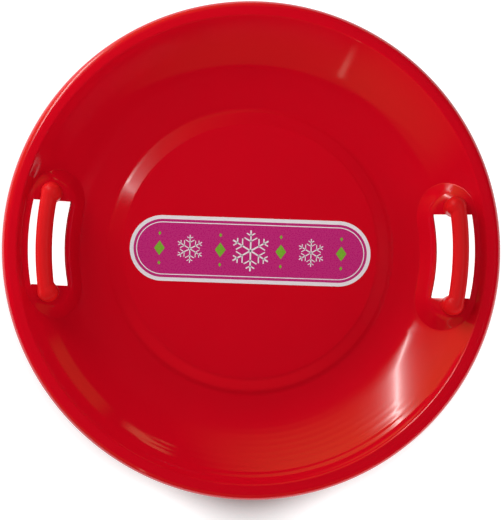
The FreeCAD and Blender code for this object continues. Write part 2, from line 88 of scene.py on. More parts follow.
def relief(owner, height, distance, strength=1, normal=None):
    inputs = {"Height": height, "Distance": distance, "Strength": strength}
    if normal:
        inputs["Normal"] = normal
    return addNode(owner, "Bump", inputs).outputs["Normal"]


def reachAlong(owner, place, way):  # how far a point lies in one direction from the middle
    return addNode(owner, "VectorMath", {0: place, 1: way}, operation="DOT_PRODUCT").outputs["Value"]


def startMaterial(name):  # the material, and where a point lies on its piece
    material = bpy.data.materials.new(name)
    material.use_nodes = True
    material.node_tree.nodes.clear()
    return material, addNode(material, "TexCoord").outputs["Object"]


def finishMaterial(material, inputs):
    shader = addNode(material, "BsdfPrincipled", inputs)
    addNode(material, "OutputMaterial", {"Surface": shader.outputs[0]})
    return material


def spinProfile(bm, profile, steps):  # turns (radius, height) points about the upright axis
    points = [bm.verts.new((radius, 0, height)) for radius, height in profile]
    lines = [bm.edges.new(pair) for pair in zip(points, points[1:])]
    bmesh.ops.spin(bm, geom=points + lines, axis=(0, 0, 1), cent=(0, 0, 0), angle=2 * math.pi, steps=steps,
                   use_merge=True)


def roundEdges(bm, edges, size, segments=2):
    bmesh.ops.bevel(bm, geom=edges, offset=size, offset_type="OFFSET", segments=segments, profile=0.5,
                    affect="EDGES", material=-1)


def addPiece(bm, name, node, materials):
    bmesh.ops.scale(bm, vec=(mm, mm, mm), verts=bm.verts)
    for face in bm.faces:
        face.smooth = True
    mesh = bpy.data.meshes.new(name)
    bm.to_mesh(mesh)
    bm.free()
    mesh.set_sharp_from_angle(angle=sharpAngle)
    for material in materials:
        mesh.materials.append(material)
    piece = bpy.data.objects.new(name, mesh)
    bpy.context.scene.collection.objects.link(piece)
    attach(piece, "root")
    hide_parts(node)
    print(name, "has", len(mesh.polygons), "faces")
    return piece


# Materials

plasticLook = {
    "cloud": 90,        # soft patches of colour
    "scuff": 14,        # patches of wear in the gloss
    "scuffDetail": 6,
    "wear": (0.3, 0.7),
    "dishRough": (0.05, 0.08),
    "gripRough": (0.3, 0.4),
    "wave": 38,         # slow waviness of a moulded wall
    "waveHigh": 0.03,
    "ripple": 7.2,      # rings left by turning the mould, on the front wall
    "rippleHigh": 0.13,
    "rippleWay": (0.174, -0.985, 0),  # they show in this direction from the middle
    "rippleFrom": 200,
    "rippleFull": 235,
    "stepInner": 157,   # the step round the disc, its slope eased by a bump, and painted paler in front, painted light that lifts the shade there
    "stepOuter": 170,
    "stepSoft": 3,
    "stepEase": 0.16,   # how much less steep its skin lies, as rise over run
    "sharpWay": (-0.85, 0.53, 0),     # it is sharper in this direction
    "sharpFrom": 60,
    "sharpFull": 150,
    "sharpShare": 0.15,
    # the step is painted paler towards the front: painted light that lifts the shade falling on it
    "paintedLightFrom": -60,
    "paintedLightFull": -150,
    "satinGrain": 1.2,
    "satinHigh": 0.012,
    "satinLevel": 0.1,
    "ior": 1.52,
}
inkLook = {"mottle": 1.5, "detail": 3, "rough": (0.22, 0.34), "ior": 1.5}
zincLook = {"bloom": 2, "detail": 5, "rough": (0.22, 0.42)}


def makeDishPlastic():
    # high-density polyethylene from a polished mould: deep even red with a wet gloss,
    # with the faint rings of the turned mould and the slow waviness of a cooling wall, which bend
    # every straight reflection; the step round the disc has its slope eased by a bump, and is painted paler
    # in front, painted light that lifts its shade
    m, place = startMaterial("gloss moulded polyethylene")
    look = plasticLook
    red = blend(m, noise(m, place, look["cloud"]), linear("#c00518"), linear("#ba0517"))
    gloss = ramp(m, noise(m, place, look["scuff"], look["scuffDetail"]), *look["wear"], *look["dishRough"])

    spot = addNode(m, "SeparateXYZ", {0: place})
    flat = addNode(m, "CombineXYZ", {0: spot.outputs[0], 1: spot.outputs[1]})
    radius = addNode(m, "VectorMath", {0: flat.outputs[0]}, operation="LENGTH").outputs["Value"]
    inner, outer, soft = (look[key] * mm for key in ("stepInner", "stepOuter", "stepSoft"))
    step = calc(m, "MULTIPLY", ramp(m, radius, inner - soft, inner + soft),
                ramp(m, radius, outer + soft, outer - soft))
    # painted light: the step is painted paler towards the front, where shade falls on it
    front = ramp(m, spot.outputs[1], look["paintedLightFrom"] * mm, look["paintedLightFull"] * mm)
    red = blend(m, calc(m, "MULTIPLY", step, front), red, linear("#cc0a1b"))

    ringScale = math.pi / 10 / (look["ripple"] * mm)
    rings = addNode(m, "TexWave", {"Vector": place, "Scale": ringScale}, wave_type="RINGS",
                    rings_direction="Z")
    ringed = ramp(m, reachAlong(m, place, look["rippleWay"]), look["rippleFrom"] * mm,
                  look["rippleFull"] * mm)
    skin = relief(m, rings.outputs["Fac"], look["rippleHigh"] * mm, ringed)
    eased = addNode(m, "Clamp", {"Value": radius, "Min": inner, "Max": outer}).outputs[0]
    share = ramp(m, reachAlong(m, place, look["sharpWay"]), look["sharpFrom"] * mm,
                 look["sharpFull"] * mm, 1, look["sharpShare"])
    skin = relief(m, eased, look["stepEase"], share, skin)
    skin = relief(m, noise(m, place, look["wave"], 1), look["waveHigh"] * mm, normal=skin)
    return finishMaterial(m, {"Base Color": red, "Roughness": gloss, "IOR": look["ior"], "Normal": skin})


def makeGripPlastic():
    # the same plastic from an unpolished mould: a finer, satin skin that spreads the highlights
    m, place = startMaterial("satin moulded polyethylene")
    look = plasticLook
    red = blend(m, noise(m, place, look["cloud"]), linear("#c11013"), linear("#bb0e13"))
    gloss = ramp(m, noise(m, place, look["scuff"], look["scuffDetail"]), *look["wear"], *look["gripRough"])
    skin = relief(m, noise(m, place, look["satinGrain"]), look["satinHigh"] * mm)
    return finishMaterial(m, {"Base Color": red, "Roughness": gloss, "IOR": look["ior"],
                              "Specular IOR Level": look["satinLevel"], "Normal": skin})


def makeInk(name, light, dark):
    # screen ink on vinyl film: flat opaque colour with a slight mottle and a soft shine
    m, place = startMaterial(name)
    mottle = noise(m, place, inkLook["mottle"], inkLook["detail"])
    return finishMaterial(m, {"Base Color": blend(m, mottle, linear(light), linear(dark)),
                              "Roughness": ramp(m, mottle, 0, 1, *inkLook["rough"]), "IOR": inkLook["ior"]})


def makeZincSteel():
    # steel wire, cold headed and zinc plated: bright grey with a faint cloudy bloom
    m, place = startMaterial("zinc plated steel")
    bloom = noise(m, place, zincLook["bloom"], zincLook["detail"])
    return finishMaterial(m, {"Base Color": blend(m, bloom, linear("#c9ccd0"), linear("#aeb1b3")),
                              "Roughness": ramp(m, bloom, 0, 1, *zincLook["rough"]), "Metallic": 1})


dishPlastic = makeDishPlastic()
gripPlastic = makeGripPlastic()
zincSteel = makeZincSteel()
whiteFilm = makeInk("white vinyl film", "#dbd3d5", "#d3cacd")
magentaInk = makeInk("magenta screen ink", "#b2156a", "#ae1366")
greenInk = makeInk("green screen ink", "#74a626", "#689a20")
print("materials ready")


# Dish: one moulded skin, turned about the upright axis, with two pods raised out of its wall

dish = {
    "rim": 300,
    "lipTop": 62,
    "thick": 3,
    "lipWidth": 16,
    "lipRoll": 10,
    "lipCrease": 4,
    "skirtDrop": 16,
    "wallRun": 98,
    "wallBend": 220,
    "footRound": 80,
    "ringWidth": 8,
    "bandRun": 25,
    "discRise": 7,
    "discRound": 12,
    "bandRound": 15,
    "steps": 360,
    "guard": 1,         # extra ring beside each curve, which keeps the flats flat
    "edgeRound": 0.4,   # trimmed edges of windows and skirt
}
pod = {
    "radius": dish["rim"] - 57,
    "height": dish["lipTop"] - 17,
    "tilt": math.radians(27),
    "halfWidth": 26,
    "span": 93,
    "draft": math.radians(50),
    "round": 18,
    "footRound": 1,
    "holeInner": 197,   # the wall is opened between these radii
    "holeOuter": 280.8,
    "holeTurn": math.radians(25),
    "windowIn": 18.6,
    "windowOut": 25.5,
    "windowEnd": 4,
    "wallStops": (0.4, 0.68),  # rings on the wall before the foot, as shares of the way to it
    "sideStop": 0.65,          # ring on the pod's side, from the foot to the rounded edge
    "roundStops": 6,
    "topRounds": 12,           # rounds of the search for a point on the top, and for the foot
    "footRounds": 40,
}
pod["turn"] = math.asin(pod["span"] / 2 / pod["radius"])
pod["bend"] = math.pi / 2 - pod["draft"]  # how far the rounded top edge turns
pod["flat"] = pod["halfWidth"] - pod["round"] * math.tan(pod["bend"] / 2)
pod["sideStart"] = pod["flat"] + pod["round"] * pod["bend"]

lipInner = dish["rim"] - dish["lipWidth"]
ringOuter = lipInner - dish["wallRun"]
ringInner = ringOuter - dish["ringWidth"]
discRadius = ringInner - dish["bandRun"]
discTop = dish["thick"] + dish["discRise"]


def slopeBetween(run, rise, reach):  # slope of a straight that touches two rounds, by their centres
    return math.atan2(run, rise) - math.acos(reach / math.hypot(run, rise))


bandSlope = slopeBetween(dish["bandRun"], dish["discRound"] + dish["bandRound"] - dish["discRise"],
                         dish["discRound"] + dish["bandRound"])


def wallShape():  # slopes at the wall's lower and upper ends, and the centre of its slight bow
    run, fall = dish["wallRun"], dish["thick"] + dish["footRound"] - dish["lipTop"] + dish["lipCrease"]
    bend, lever = dish["wallBend"], dish["wallBend"] - dish["footRound"]
    spread = ((bend + dish["lipCrease"]) ** 2 - lever ** 2 - run ** 2 - fall ** 2) / (2 * lever)
    lower = math.asin(spread / math.hypot(run, fall)) - math.atan2(fall, run)
    centre = (footCentre[0] - lever * math.sin(lower), footCentre[1] + lever * math.cos(lower))
    upper = math.atan2(lipInner - centre[0], centre[1] - dish["lipTop"] + dish["lipCrease"])
    return lower, upper, centre


footCentre = (ringOuter, dish["thick"] + dish["footRound"])
wallLower, wallUpper, wallCentre = wallShape()


def arcPoints(centre, radius, first, last, steps):  # angles from straight up, turning outwards
    angles = [first + (last - first) * i / steps for i in range(steps + 1)]
    return [(centre[0] + radius * math.sin(a), centre[1] + radius * math.cos(a)) for a in angles]


def dishProfile():  # from the middle of the disc to the lower edge of the skirt
    rounds = [
        [(0, discTop)],
        arcPoints((discRadius, discTop - dish["discRound"]), dish["discRound"], 0, bandSlope, 6),
        arcPoints((ringInner, dish["thick"] + dish["bandRound"]), -dish["bandRound"], bandSlope, 0, 6),
        arcPoints(footCentre, -dish["footRound"], 0, -wallLower, 20)
        + arcPoints(wallCentre, -dish["wallBend"], -wallLower, -wallUpper, 24)[1:-1],
        arcPoints((lipInner, dish["lipTop"] - dish["lipCrease"]), dish["lipCrease"], -wallUpper, 0, 8),
        arcPoints((dish["rim"] - dish["lipRoll"], dish["lipTop"] - dish["lipRoll"]),
                  dish["lipRoll"], 0, math.pi / 2, 16),
        [(dish["rim"], dish["lipTop"] - dish["skirtDrop"])],
    ]
    points = list(rounds[0])
    for curve in rounds[1:]:
        start, end = Vector(points[-1]), Vector(curve[0])
        along = (end - start).normalized() * min(dish["guard"], (end - start).length / 3)
        points += [tuple(start + along), tuple(end - along)] + curve
    return points


def wallHeight(radius):
    footEnd = ringOuter + dish["footRound"] * math.sin(wallLower)
    centre, bend = (footCentre, dish["footRound"]) if radius < footEnd else (wallCentre, dish["wallBend"])
    return centre[1] - math.sqrt(bend ** 2 - (radius - centre[0]) ** 2)


def podSection(along):  # (out, up) on a pod's half section, by the length along it from the middle
    if along <= pod["flat"]:
        return along, 0
    turn = min((along - pod["flat"]) / pod["round"], pod["bend"])
    rest = max(0, along - pod["sideStart"])
    return (pod["flat"] + pod["round"] * math.sin(turn) + rest * math.sin(pod["draft"]),
            pod["round"] * (math.cos(turn) - 1) - rest * math.cos(pod["draft"]))


def podPoint(turn, fan, along):  # turn round the dish, fan round a pod's end, along the section
    out, up = podSection(along)
    reach = pod["radius"] + out * math.cos(fan) * math.cos(pod["tilt"]) - up * math.sin(pod["tilt"])
    height = pod["height"] + out * math.cos(fan) * math.sin(pod["tilt"]) + up * math.cos(pod["tilt"])
    return Matrix.Rotation(turn, 3, "Z") @ Vector((reach, out * math.sin(fan), height))


def podTurnAt(x, y):
    return max(-pod["turn"], min(pod["turn"], math.atan2(y, x)))


def podTop(x, y):  # where a plan point lies on a pod's top: its place, and how far along the section
    turn = podTurnAt(x, y)
    flatPlace = Matrix.Rotation(-turn, 3, "Z") @ Vector((x, y, 0))
    along, up = 0, 0
    for step in range(pod["topRounds"]):
        out = (flatPlace.x - pod["radius"] + up * math.sin(pod["tilt"])) / math.cos(pod["tilt"])
        width = math.hypot(out, flatPlace.y)
        past = max(0, min(width - pod["flat"], pod["round"] * math.sin(pod["bend"])))
        bend = math.asin(past / pod["round"])
        along = min(width, pod["flat"]) + pod["round"] * bend
        up = podSection(along)[1]
    return podPoint(turn, math.atan2(flatPlace.y, out), along), along


def windowPlace(turn, fan):  # plan point of the window's edge for one ray of the pod
    inner, outer = pod["radius"] - pod["windowIn"], pod["radius"] + pod["windowOut"]
    half = pod["span"] / 2 + pod["windowEnd"]
    if abs(turn) < pod["turn"]:
        radius = outer if abs(fan) < math.pi / 2 else inner
        return radius * math.cos(turn), radius * math.sin(turn)
    side = math.copysign(1, turn)
    path = [Vector((outer * math.cos(pod["turn"]), outer * math.sin(pod["turn"]))),
            Vector((math.sqrt(outer ** 2 - half ** 2), half)),
            Vector((math.sqrt(inner ** 2 - half ** 2), half)),
            Vector((inner * math.cos(pod["turn"]), inner * math.sin(pod["turn"])))]
    spans = [(b - a).length for a, b in zip(path, path[1:])]
    left = abs(fan) / math.pi * sum(spans)
    for start, end, span in zip(path, path[1:], spans):
        if left <= span or end == path[-1]:
            spot = start.lerp(end, min(1, left / span))
            return spot.x, spot.y * side
        left -= span


def podRay(x, y):  # what a point on the edge of the opened wall is drawn in to
    turn = podTurnAt(x, y)
    flatPlace = Matrix.Rotation(-turn, 3, "Z") @ Vector((x, y, 0))
    fan = math.atan2(flatPlace.y, (flatPlace.x - pod["radius"]) / math.cos(pod["tilt"]))
    low, high = pod["flat"], pod["flat"] + 2 * pod["halfWidth"]
    for step in range(pod["footRounds"]):  # the foot is where the pod's side meets the wall
        middle = (low + high) / 2
        spot = podPoint(turn, fan, middle)
        low, high = (middle, high) if spot.z > wallHeight(spot.xy.length) else (low, middle)
    window, windowAlong = podTop(*windowPlace(turn, fan))
    return {"turn": turn, "fan": fan, "start": Vector((x, y, 0)), "foot": low, "window": window,
            "inner": max(pod["flat"], windowAlong + dish["guard"])}


def rayStops(ray):  # the points of one ray, from the wall over the foot and the top to the window
    def section(along):
        return podPoint(ray["turn"], ray["fan"], along)

    foot, edge = section(ray["foot"]), section(ray["inner"])
    stops = []
    for share in pod["wallStops"]:
        spot = ray["start"].lerp(Vector((*foot.xy, 0)), share)
        stops.append(Vector((*spot.xy, wallHeight(spot.xy.length))))
    stops += [foot, section((1 - pod["sideStop"]) * ray["foot"] + pod["sideStop"] * pod["sideStart"])]
    for step in range(pod["roundStops"] + 1):
        share = step / pod["roundStops"]
        stops.append(section(pod["sideStart"] + (ray["inner"] - pod["sideStart"]) * share))
    middle = edge.lerp(ray["window"], 0.5)
    return stops + [podTop(*middle.xy)[0], ray["window"]]


footStop = len(pod["wallStops"])  # which of those points is on the foot


def raisePod(bm, side):  # opens the wall on one side (1 or -1) and draws its edge in, ring by ring
    def inHole(face):
        centre = face.calc_center_median()
        radius = centre.xy.length
        return (pod["holeInner"] < radius < pod["holeOuter"]
                and abs(math.atan2(side * centre.y, side * centre.x)) < pod["holeTurn"])

    holed = [face for face in bm.faces if inHole(face)]
    nearby = {v for face in holed for v in face.verts}
    bmesh.ops.delete(bm, geom=holed, context="FACES")
    nearby = {v for v in nearby if v.is_valid}
    edges = [e for e in bm.edges if e.is_boundary and e.verts[0] in nearby and e.verts[1] in nearby]
    stops = {v: rayStops(podRay(side * v.co.x, side * v.co.y)) for e in edges for v in e.verts}
    footEdges = []
    for ring in range(len(next(iter(stops.values())))):
        drawn = bmesh.ops.extrude_edge_only(bm, edges=edges)["geom"]
        edges = [item for item in drawn if isinstance(item, bmesh.types.BMEdge)]
        inward = {}
        for v in [item for item in drawn if isinstance(item, bmesh.types.BMVert)]:
            old = next(e.other_vert(v) for e in v.link_edges if e.other_vert(v) in stops)
            inward[v] = stops[old]
            v.co = Vector((side, side, 1)) * inward[v][ring]
        edges = [e for e in edges if e.verts[0] in inward and e.verts[1] in inward]
        stops = inward
        if ring == footStop:
            footEdges = edges
    roundEdges(bm, footEdges, pod["footRound"], 4)
    return list(stops)


def makeDish():
    bm = bmesh.new()
    spinProfile(bm, dishProfile(), dish["steps"])
    bmesh.ops.remove_doubles(bm, verts=bm.verts, dist=dish["guard"] / 100)
    windows = raisePod(bm, 1) + raisePod(bm, -1)
    bmesh.ops.recalc_face_normals(bm, faces=bm.faces)
    if sum(face.normal.z * face.calc_area() for face in bm.faces) < 0:
        bmesh.ops.reverse_faces(bm, faces=bm.faces)
    bm.normal_update()

    upper = bm.verts[:]
    windowVerts = set(windows)
    rimVerts = {v for e in bm.edges if e.is_boundary for v in e.verts} - windowVerts
    lower = bmesh.ops.duplicate(bm, geom=bm.verts[:] + bm.edges[:] + bm.faces[:])
    under = {v: lower["vert_map"][v] for v in upper}
    for v in upper:
        if v in windowVerts:  # windows are cut straight down
            under[v].co.z -= dish["thick"] / v.normal.z
        else:
            under[v].co -= v.normal * dish["thick"]
    lowerFaces = [item for item in lower["geom"] if isinstance(item, bmesh.types.BMFace)]
    bmesh.ops.reverse_faces(bm, faces=lowerFaces)
    trimmed = []
    for loop in (rimVerts, {v for v in windowVerts if v.co.x > 0}, {v for v in windowVerts if v.co.x < 0}):
        both = loop | {under[v] for v in loop}
        edges = [e for e in bm.edges if e.is_boundary and e.verts[0] in both and e.verts[1] in both]
        bmesh.ops.bridge_loops(bm, edges=edges)
        trimmed += edges
    roundEdges(bm, trimmed, dish["edgeRound"])
    bmesh.ops.recalc_face_normals(bm, faces=bm.faces)
    return addPiece(bm, "moulded_dish", "dish", [dishPlastic])


dishPiece = makeDish()


# Grips: a bent bar between two domed posts, each shaped to sit on its pod

grip = {
    "barRadius": 10,
    "bend": 342,
    "barReach": 249.32,   # middle of the bar from the sled's axis
    "barHeight": 69.31,
    "postReach": 242.67,
    "postSide": 59.13,
    "postRadius": 12.5,
    "domeHeight": 67.31,
    "seatGap": 0.05,
    "barRings": 48,
    "steps": 48,
    "domeSteps": 12,
    "voxel": 0.6,         # the bar and the posts are run together at this size, and then eased
    "easing": 10,
    "easeShare": 0.5,
    "footShares": (1, 0.75, 0.5, 0.25, 0),
}


def addBar(bm):
    pivot = Vector((grip["barReach"] - grip["bend"], 0, 0))
    endTurn = math.asin(grip["postSide"] / grip["bend"])
    ring = bmesh.ops.create_circle(bm, segments=grip["steps"], radius=grip["barRadius"])["verts"]
    bmesh.ops.rotate(bm, verts=ring, matrix=Matrix.Rotation(math.pi / 2, 3, "X"))
    bmesh.ops.translate(bm, verts=ring, vec=(grip["barReach"], 0, grip["barHeight"]))
    bmesh.ops.rotate(bm, verts=ring, cent=pivot, matrix=Matrix.Rotation(-endTurn, 3, "Z"))
    bmesh.ops.spin(bm, geom=bm.verts[:] + bm.edges[:], axis=(0, 0, 1), cent=pivot, angle=2 * endTurn,
                   steps=grip["barRings"])
    bmesh.ops.holes_fill(bm, edges=[e for e in bm.edges if e.is_boundary])


def addPost(bm, side):  # dome and wall are spun; the wall's lower edge and the foot follow the pod's top
    known = set(bm.verts)
    dome = [(grip["postRadius"] * math.sin(a), grip["domeHeight"] + grip["postRadius"] * math.cos(a))
            for a in (math.pi / 2 * i / grip["domeSteps"] for i in range(grip["domeSteps"] + 1))]
    foot = [(grip["postRadius"] * share, 0) for share in grip["footShares"]]
    spinProfile(bm, dome + foot, grip["steps"])
    made = [v for v in bm.verts if v not in known]
    bmesh.ops.translate(bm, verts=made, vec=(grip["postReach"], side * grip["postSide"], 0))
    for v in made:
        if v.co.z == 0:
            v.co.z = podTop(v.co.x, v.co.y)[0].z + grip["seatGap"]


def makeGrip(name, node, turn):
    bm = bmesh.new()
    addBar(bm)
    addPost(bm, 1)
    addPost(bm, -1)
    bmesh.ops.remove_doubles(bm, verts=bm.verts, dist=weld)
    bmesh.ops.recalc_face_normals(bm, faces=bm.faces)
    bmesh.ops.rotate(bm, verts=bm.verts, matrix=Matrix.Rotation(turn, 3, "Z"))
    piece = addPiece(bm, name, node, [gripPlastic])
    joined = piece.modifiers.new("joined", "REMESH")
    joined.mode = "VOXEL"
    joined.voxel_size = grip["voxel"] * mm
    joined.use_smooth_shade = True
    eased = piece.modifiers.new("eased", "SMOOTH")
    eased.factor = grip["easeShare"]
    eased.iterations = grip["easing"]
    return piece


rightGrip = makeGrip("moulded_right_grip", "right_grip", 0)
leftGrip = makeGrip("moulded_left_grip", "left_grip", math.pi)


# Screws: hexagon heads with a pressed flange, driven up through each pod into a grip's foot

screw = {
    "shank": 2.1,
    "thread": 2.5,
    "pitch": 1.8,
    "length": 16,
    "flange": 6,
    "flangeThick": 1.2,
    "headRadius": 4,
    "headHigh": 3,
    "headEdge": 0.3,
    "rootSink": 0.1,                # how far the thread's root lies inside the shank
    "rootSides": (0.3, 0.7),        # its edges, as shares of the pitch
    "seat": -dish["thick"] - 0.05,  # flange under the pod's top
    "footOut": 7.3,
    "footAlong": 11.6,
    "steps": 24,
}


def screwProfile():  # from the head's underside up to the point
    point = screw["thread"]
    return [(screw["headRadius"], -screw["flangeThick"]), (screw["flange"], -screw["flangeThick"]),
            (screw["flange"], 0), (screw["shank"], 0), (screw["shank"], screw["length"] - point),
            (0, screw["length"])]


def makeScrew(bm, turn, end):
    before = set(bm.verts)
    spinProfile(bm, screwProfile(), screw["steps"])
    head = bmesh.ops.create_cone(bm, cap_ends=True, segments=6, radius1=screw["headRadius"],
                                 radius2=screw["headRadius"], depth=screw["headHigh"])["verts"]
    bmesh.ops.translate(bm, verts=head, vec=(0, 0, -screw["flangeThick"] - screw["headHigh"] / 2))
    headEdges = {e for v in head for e in v.link_edges}
    roundEdges(bm, list(headEdges), screw["headEdge"])
    turns = (screw["length"] - 2 * screw["thread"]) / screw["pitch"]
    root = screw["shank"] - screw["rootSink"]
    ridge = [bm.verts.new((root, 0, screw["pitch"] * share)) for share in screw["rootSides"]]
    ridge.insert(1, bm.verts.new((screw["thread"], 0, screw["pitch"] / 2)))
    ridgeLines = [bm.edges.new(pair) for pair in zip(ridge, ridge[1:])]
    bmesh.ops.spin(bm, geom=ridge + ridgeLines, axis=(0, 0, 1), cent=(0, 0, 0), angle=2 * math.pi * turns,
                   dvec=(0, 0, screw["pitch"] / screw["steps"]), steps=round(screw["steps"] * turns))
    made = [v for v in bm.verts if v not in before]
    bmesh.ops.translate(bm, verts=made, vec=(screw["footOut"], end * screw["footAlong"], screw["seat"]))
    bmesh.ops.rotate(bm, verts=made, matrix=Matrix.Rotation(-pod["tilt"], 3, "Y"))
    bmesh.ops.translate(bm, verts=made, vec=(pod["radius"], 0, pod["height"]))
    bmesh.ops.rotate(bm, verts=made, matrix=Matrix.Rotation(turn + end * pod["turn"], 3, "Z"))


def makeScrews():
    bm = bmesh.new()
    for turn in (0, math.pi):
        for end in (1, -1):
            makeScrew(bm, turn, end)
    bmesh.ops.remove_doubles(bm, verts=bm.verts, dist=weld)
    bmesh.ops.recalc_face_normals(bm, faces=bm.faces)
    return addPiece(bm, "hex_screws", "grip_screws", [zincSteel])


screwPiece = makeScrews()


# Label: printed film with round ends; the inks are thin layers on it

label = {
    "length": 294,
    "width": 80,
    "thick": 0.3,
    "border": 4.5,
    "field": 3.2,
    "line": 1.1,
    "ink": 0.05,
    "segments": 96,
    "flakeRadius": 25,
    "smallFlake": 17,
    "flakeStep": 74,
    "flakeTurn": math.radians(30),
    "arms": 6,
    "arm": (0.5, 1, 0.075),  # middle, length and width of a crystal's arm, as shares of its radius
    "barbs": ((0.46, 0.36), (0.74, 0.24)),  # where each pair starts, and its length
    "barbWidth": 0.06,
    "barbLean": math.radians(60),
    "diamond": 9,
    "diamondSlim": 0.72,
    "dot": 2.6,
}


def addInk(bm, verts, index):  # prints a layer in one of the label's materials
    for face in {f for v in verts for f in v.link_faces}:
        face.material_index = index


def addFlake(bm, x, radius, index):  # a snow crystal: arms with two pairs of barbs each
    top = discTop + label["thick"]
    made = []
    bars = [(*label["arm"], 0)]
    for place, length in label["barbs"]:
        bars += [(place, length, label["barbWidth"], side * label["barbLean"]) for side in (1, -1)]
    for place, length, width, lean in bars:
        verts = bmesh.ops.create_cube(bm, size=1)["verts"]
        bmesh.ops.scale(bm, verts=verts, vec=(radius * length, radius * width, label["ink"]))
        if lean:
            bmesh.ops.translate(bm, verts=verts, vec=(radius * length / 2, 0, 0))
            bmesh.ops.rotate(bm, verts=verts, matrix=Matrix.Rotation(lean, 3, "Z"))
        bmesh.ops.translate(bm, verts=verts, vec=(radius * place, 0, 0))
        made += verts
    edges = {e for v in made for e in v.link_edges}
    faces = {f for v in made for f in v.link_faces}
    copies = label["arms"] - 1
    bmesh.ops.spin(bm, geom=made + list(edges) + list(faces), axis=(0, 0, 1), cent=(0, 0, 0),
                   angle=2 * math.pi * copies / label["arms"], steps=copies, use_duplicate=True)
    allVerts = [v for v in bm.verts if abs(v.co.z) < label["ink"]]
    bmesh.ops.rotate(bm, verts=allVerts, matrix=Matrix.Rotation(label["flakeTurn"], 3, "Z"))
    bmesh.ops.translate(bm, verts=allVerts, vec=(x, 0, top))
    addInk(bm, allVerts, index)


def addDiamond(bm, x, y, radius, index):
    top = discTop + label["thick"]
    verts = bmesh.ops.create_cone(bm, cap_ends=True, segments=4, radius1=radius, radius2=radius,
                                  depth=label["ink"])["verts"]
    bmesh.ops.scale(bm, verts=verts, vec=(label["diamondSlim"], 1, 1))
    bmesh.ops.translate(bm, verts=verts, vec=(x, y, top))
    addInk(bm, verts, index)


def makeLabel():
    bm = bmesh.new()
    half = label["width"] / 2
    outline = bmesh.ops.create_circle(bm, cap_ends=True, segments=label["segments"], radius=half)["verts"]
    bmesh.ops.rotate(bm, verts=outline, matrix=Matrix.Rotation(math.pi / label["segments"], 3, "Z"))
    for v in outline:
        v.co.x += math.copysign(label["length"] / 2 - half, v.co.x)
        v.co.z = discTop
    bmesh.ops.recalc_face_normals(bm, faces=bm.faces)
    raised = bmesh.ops.extrude_face_region(bm, geom=bm.faces[:])["geom"]
    bmesh.ops.translate(bm, verts=[v for v in raised if isinstance(v, bmesh.types.BMVert)],
                        vec=(0, 0, label["thick"]))
    face = max(bm.faces, key=lambda f: f.calc_center_median().z)
    for width, index in ((label["border"], 1), (label["field"], 0), (label["line"], 1)):
        bmesh.ops.inset_region(bm, faces=[face], thickness=width, use_even_offset=True)
        face.material_index = index
    bmesh.ops.recalc_face_normals(bm, faces=bm.faces)
    for step, radius in ((-1, label["smallFlake"]), (0, label["flakeRadius"]), (1, label["smallFlake"])):
        addFlake(bm, step * label["flakeStep"], radius, 0)
    for step in (-1.5, -0.5, 0.5, 1.5):
        x = step * label["flakeStep"]
        addDiamond(bm, x, 0, label["diamond"], 2)
        for y in (-1, 1):
            addDiamond(bm, x, y * 2 * label["diamond"], label["dot"], 2)
    return addPiece(bm, "printed_label", "centre_label", [whiteFilm, magentaInk, greenInk])


labelPiece = makeLabel()


# Floor, lights and camera

floorLook = {
    "half": 15000,
    "fibre": 3,
    "rough": 0.9,
    "glow": 0.6,
    "soft": 10,           # edges of the patches and the shadow
    "patchIn": 212,       # painted light, where light would fall through the windows
    "patchOut": 278,
    "patchSide": 60,
    "shadeMiddle": 8,     # middle of a painted zone in front of the rim where the glow is lowered, so that the lamp's real shadow shows there
    "shadeWidth": 130,
    "shadeFrom": -250,
    "shadeTo": -335,
    "shadeEnd": -420,
    "shadeGlow": 0.12,
}


def makeFloorPaper():
    # matt white background paper; to the eye, and in reflections, it glows a little so that it
    # stays white; below the two windows it glows fully, painted light, and in a zone in front of the rim
    # least, painted shade that lets the lamp's real shadow show there
    m, coords = startMaterial("matt white paper")
    look = floorLook
    rays = addNode(m, "LightPath").outputs
    seen = calc(m, "ADD", rays["Is Camera Ray"], rays["Is Glossy Ray"])
    seen = calc(m, "ADD", seen, rays["Is Transmission Ray"], use_clamp=True)
    place = addNode(m, "SeparateXYZ", {0: coords})
    x, y = place.outputs[0], place.outputs[1]
    across, side = calc(m, "ABSOLUTE", x), calc(m, "ABSOLUTE", y)
    soft, middle, width, start = (look[key] for key in ("soft", "shadeMiddle", "shadeWidth", "shadeFrom"))

    def zone(edges):
        return within(m, [(value, outer * mm, inner * mm) for value, outer, inner in edges])

    # painted light: the floor glows fully below the two windows
    paintedWindowLight = zone([(across, look["patchIn"] - soft, look["patchIn"]),
                  (across, look["patchOut"] + soft, look["patchOut"]),
                  (side, look["patchSide"] + soft, look["patchSide"])])
    # partly painted shade: in this zone in front of the rim the glow is lowered, so the lamp's real shadow
    # shows only here
    paintedShadeZone = zone([(x, middle - width, middle), (x, middle + width, middle), (y, start, start - soft),
                  (y, look["shadeEnd"], look["shadeTo"])])
    glow = ramp(m, paintedWindowLight, 0, 1, look["glow"], 1)
    glow = addNode(m, "Mix", {0: paintedShadeZone, 2: glow, 3: look["shadeGlow"]}).outputs[0]
    paper = blend(m, noise(m, coords, look["fibre"]), linear("#f2f2f2"), linear("#ededed"))
    return finishMaterial(m, {
        "Base Color": paper, "Roughness": look["rough"], "Specular IOR Level": 0,
        "Emission Color": linear("#ffffff"), "Emission Strength": calc(m, "MULTIPLY", glow, seen)})


def makeFloor():
    bm = bmesh.new()
    bmesh.ops.create_grid(bm, x_segments=1, y_segments=1, size=floorLook["half"] * mm)
    mesh = bpy.data.meshes.new("paper_floor")
    bm.to_mesh(mesh)
    bm.free()
    mesh.materials.append(makeFloorPaper())
    floor = bpy.data.objects.new("paper_floor", mesh)
    bpy.context.scene.collection.objects.link(floor)
    return floor


floorPiece = makeFloor()

warm = (1, 0.82, 0.15)  # pale walls and cards that show in the gloss
slant = (0.016, -0.495, 0.869)  # the tube leans along this line
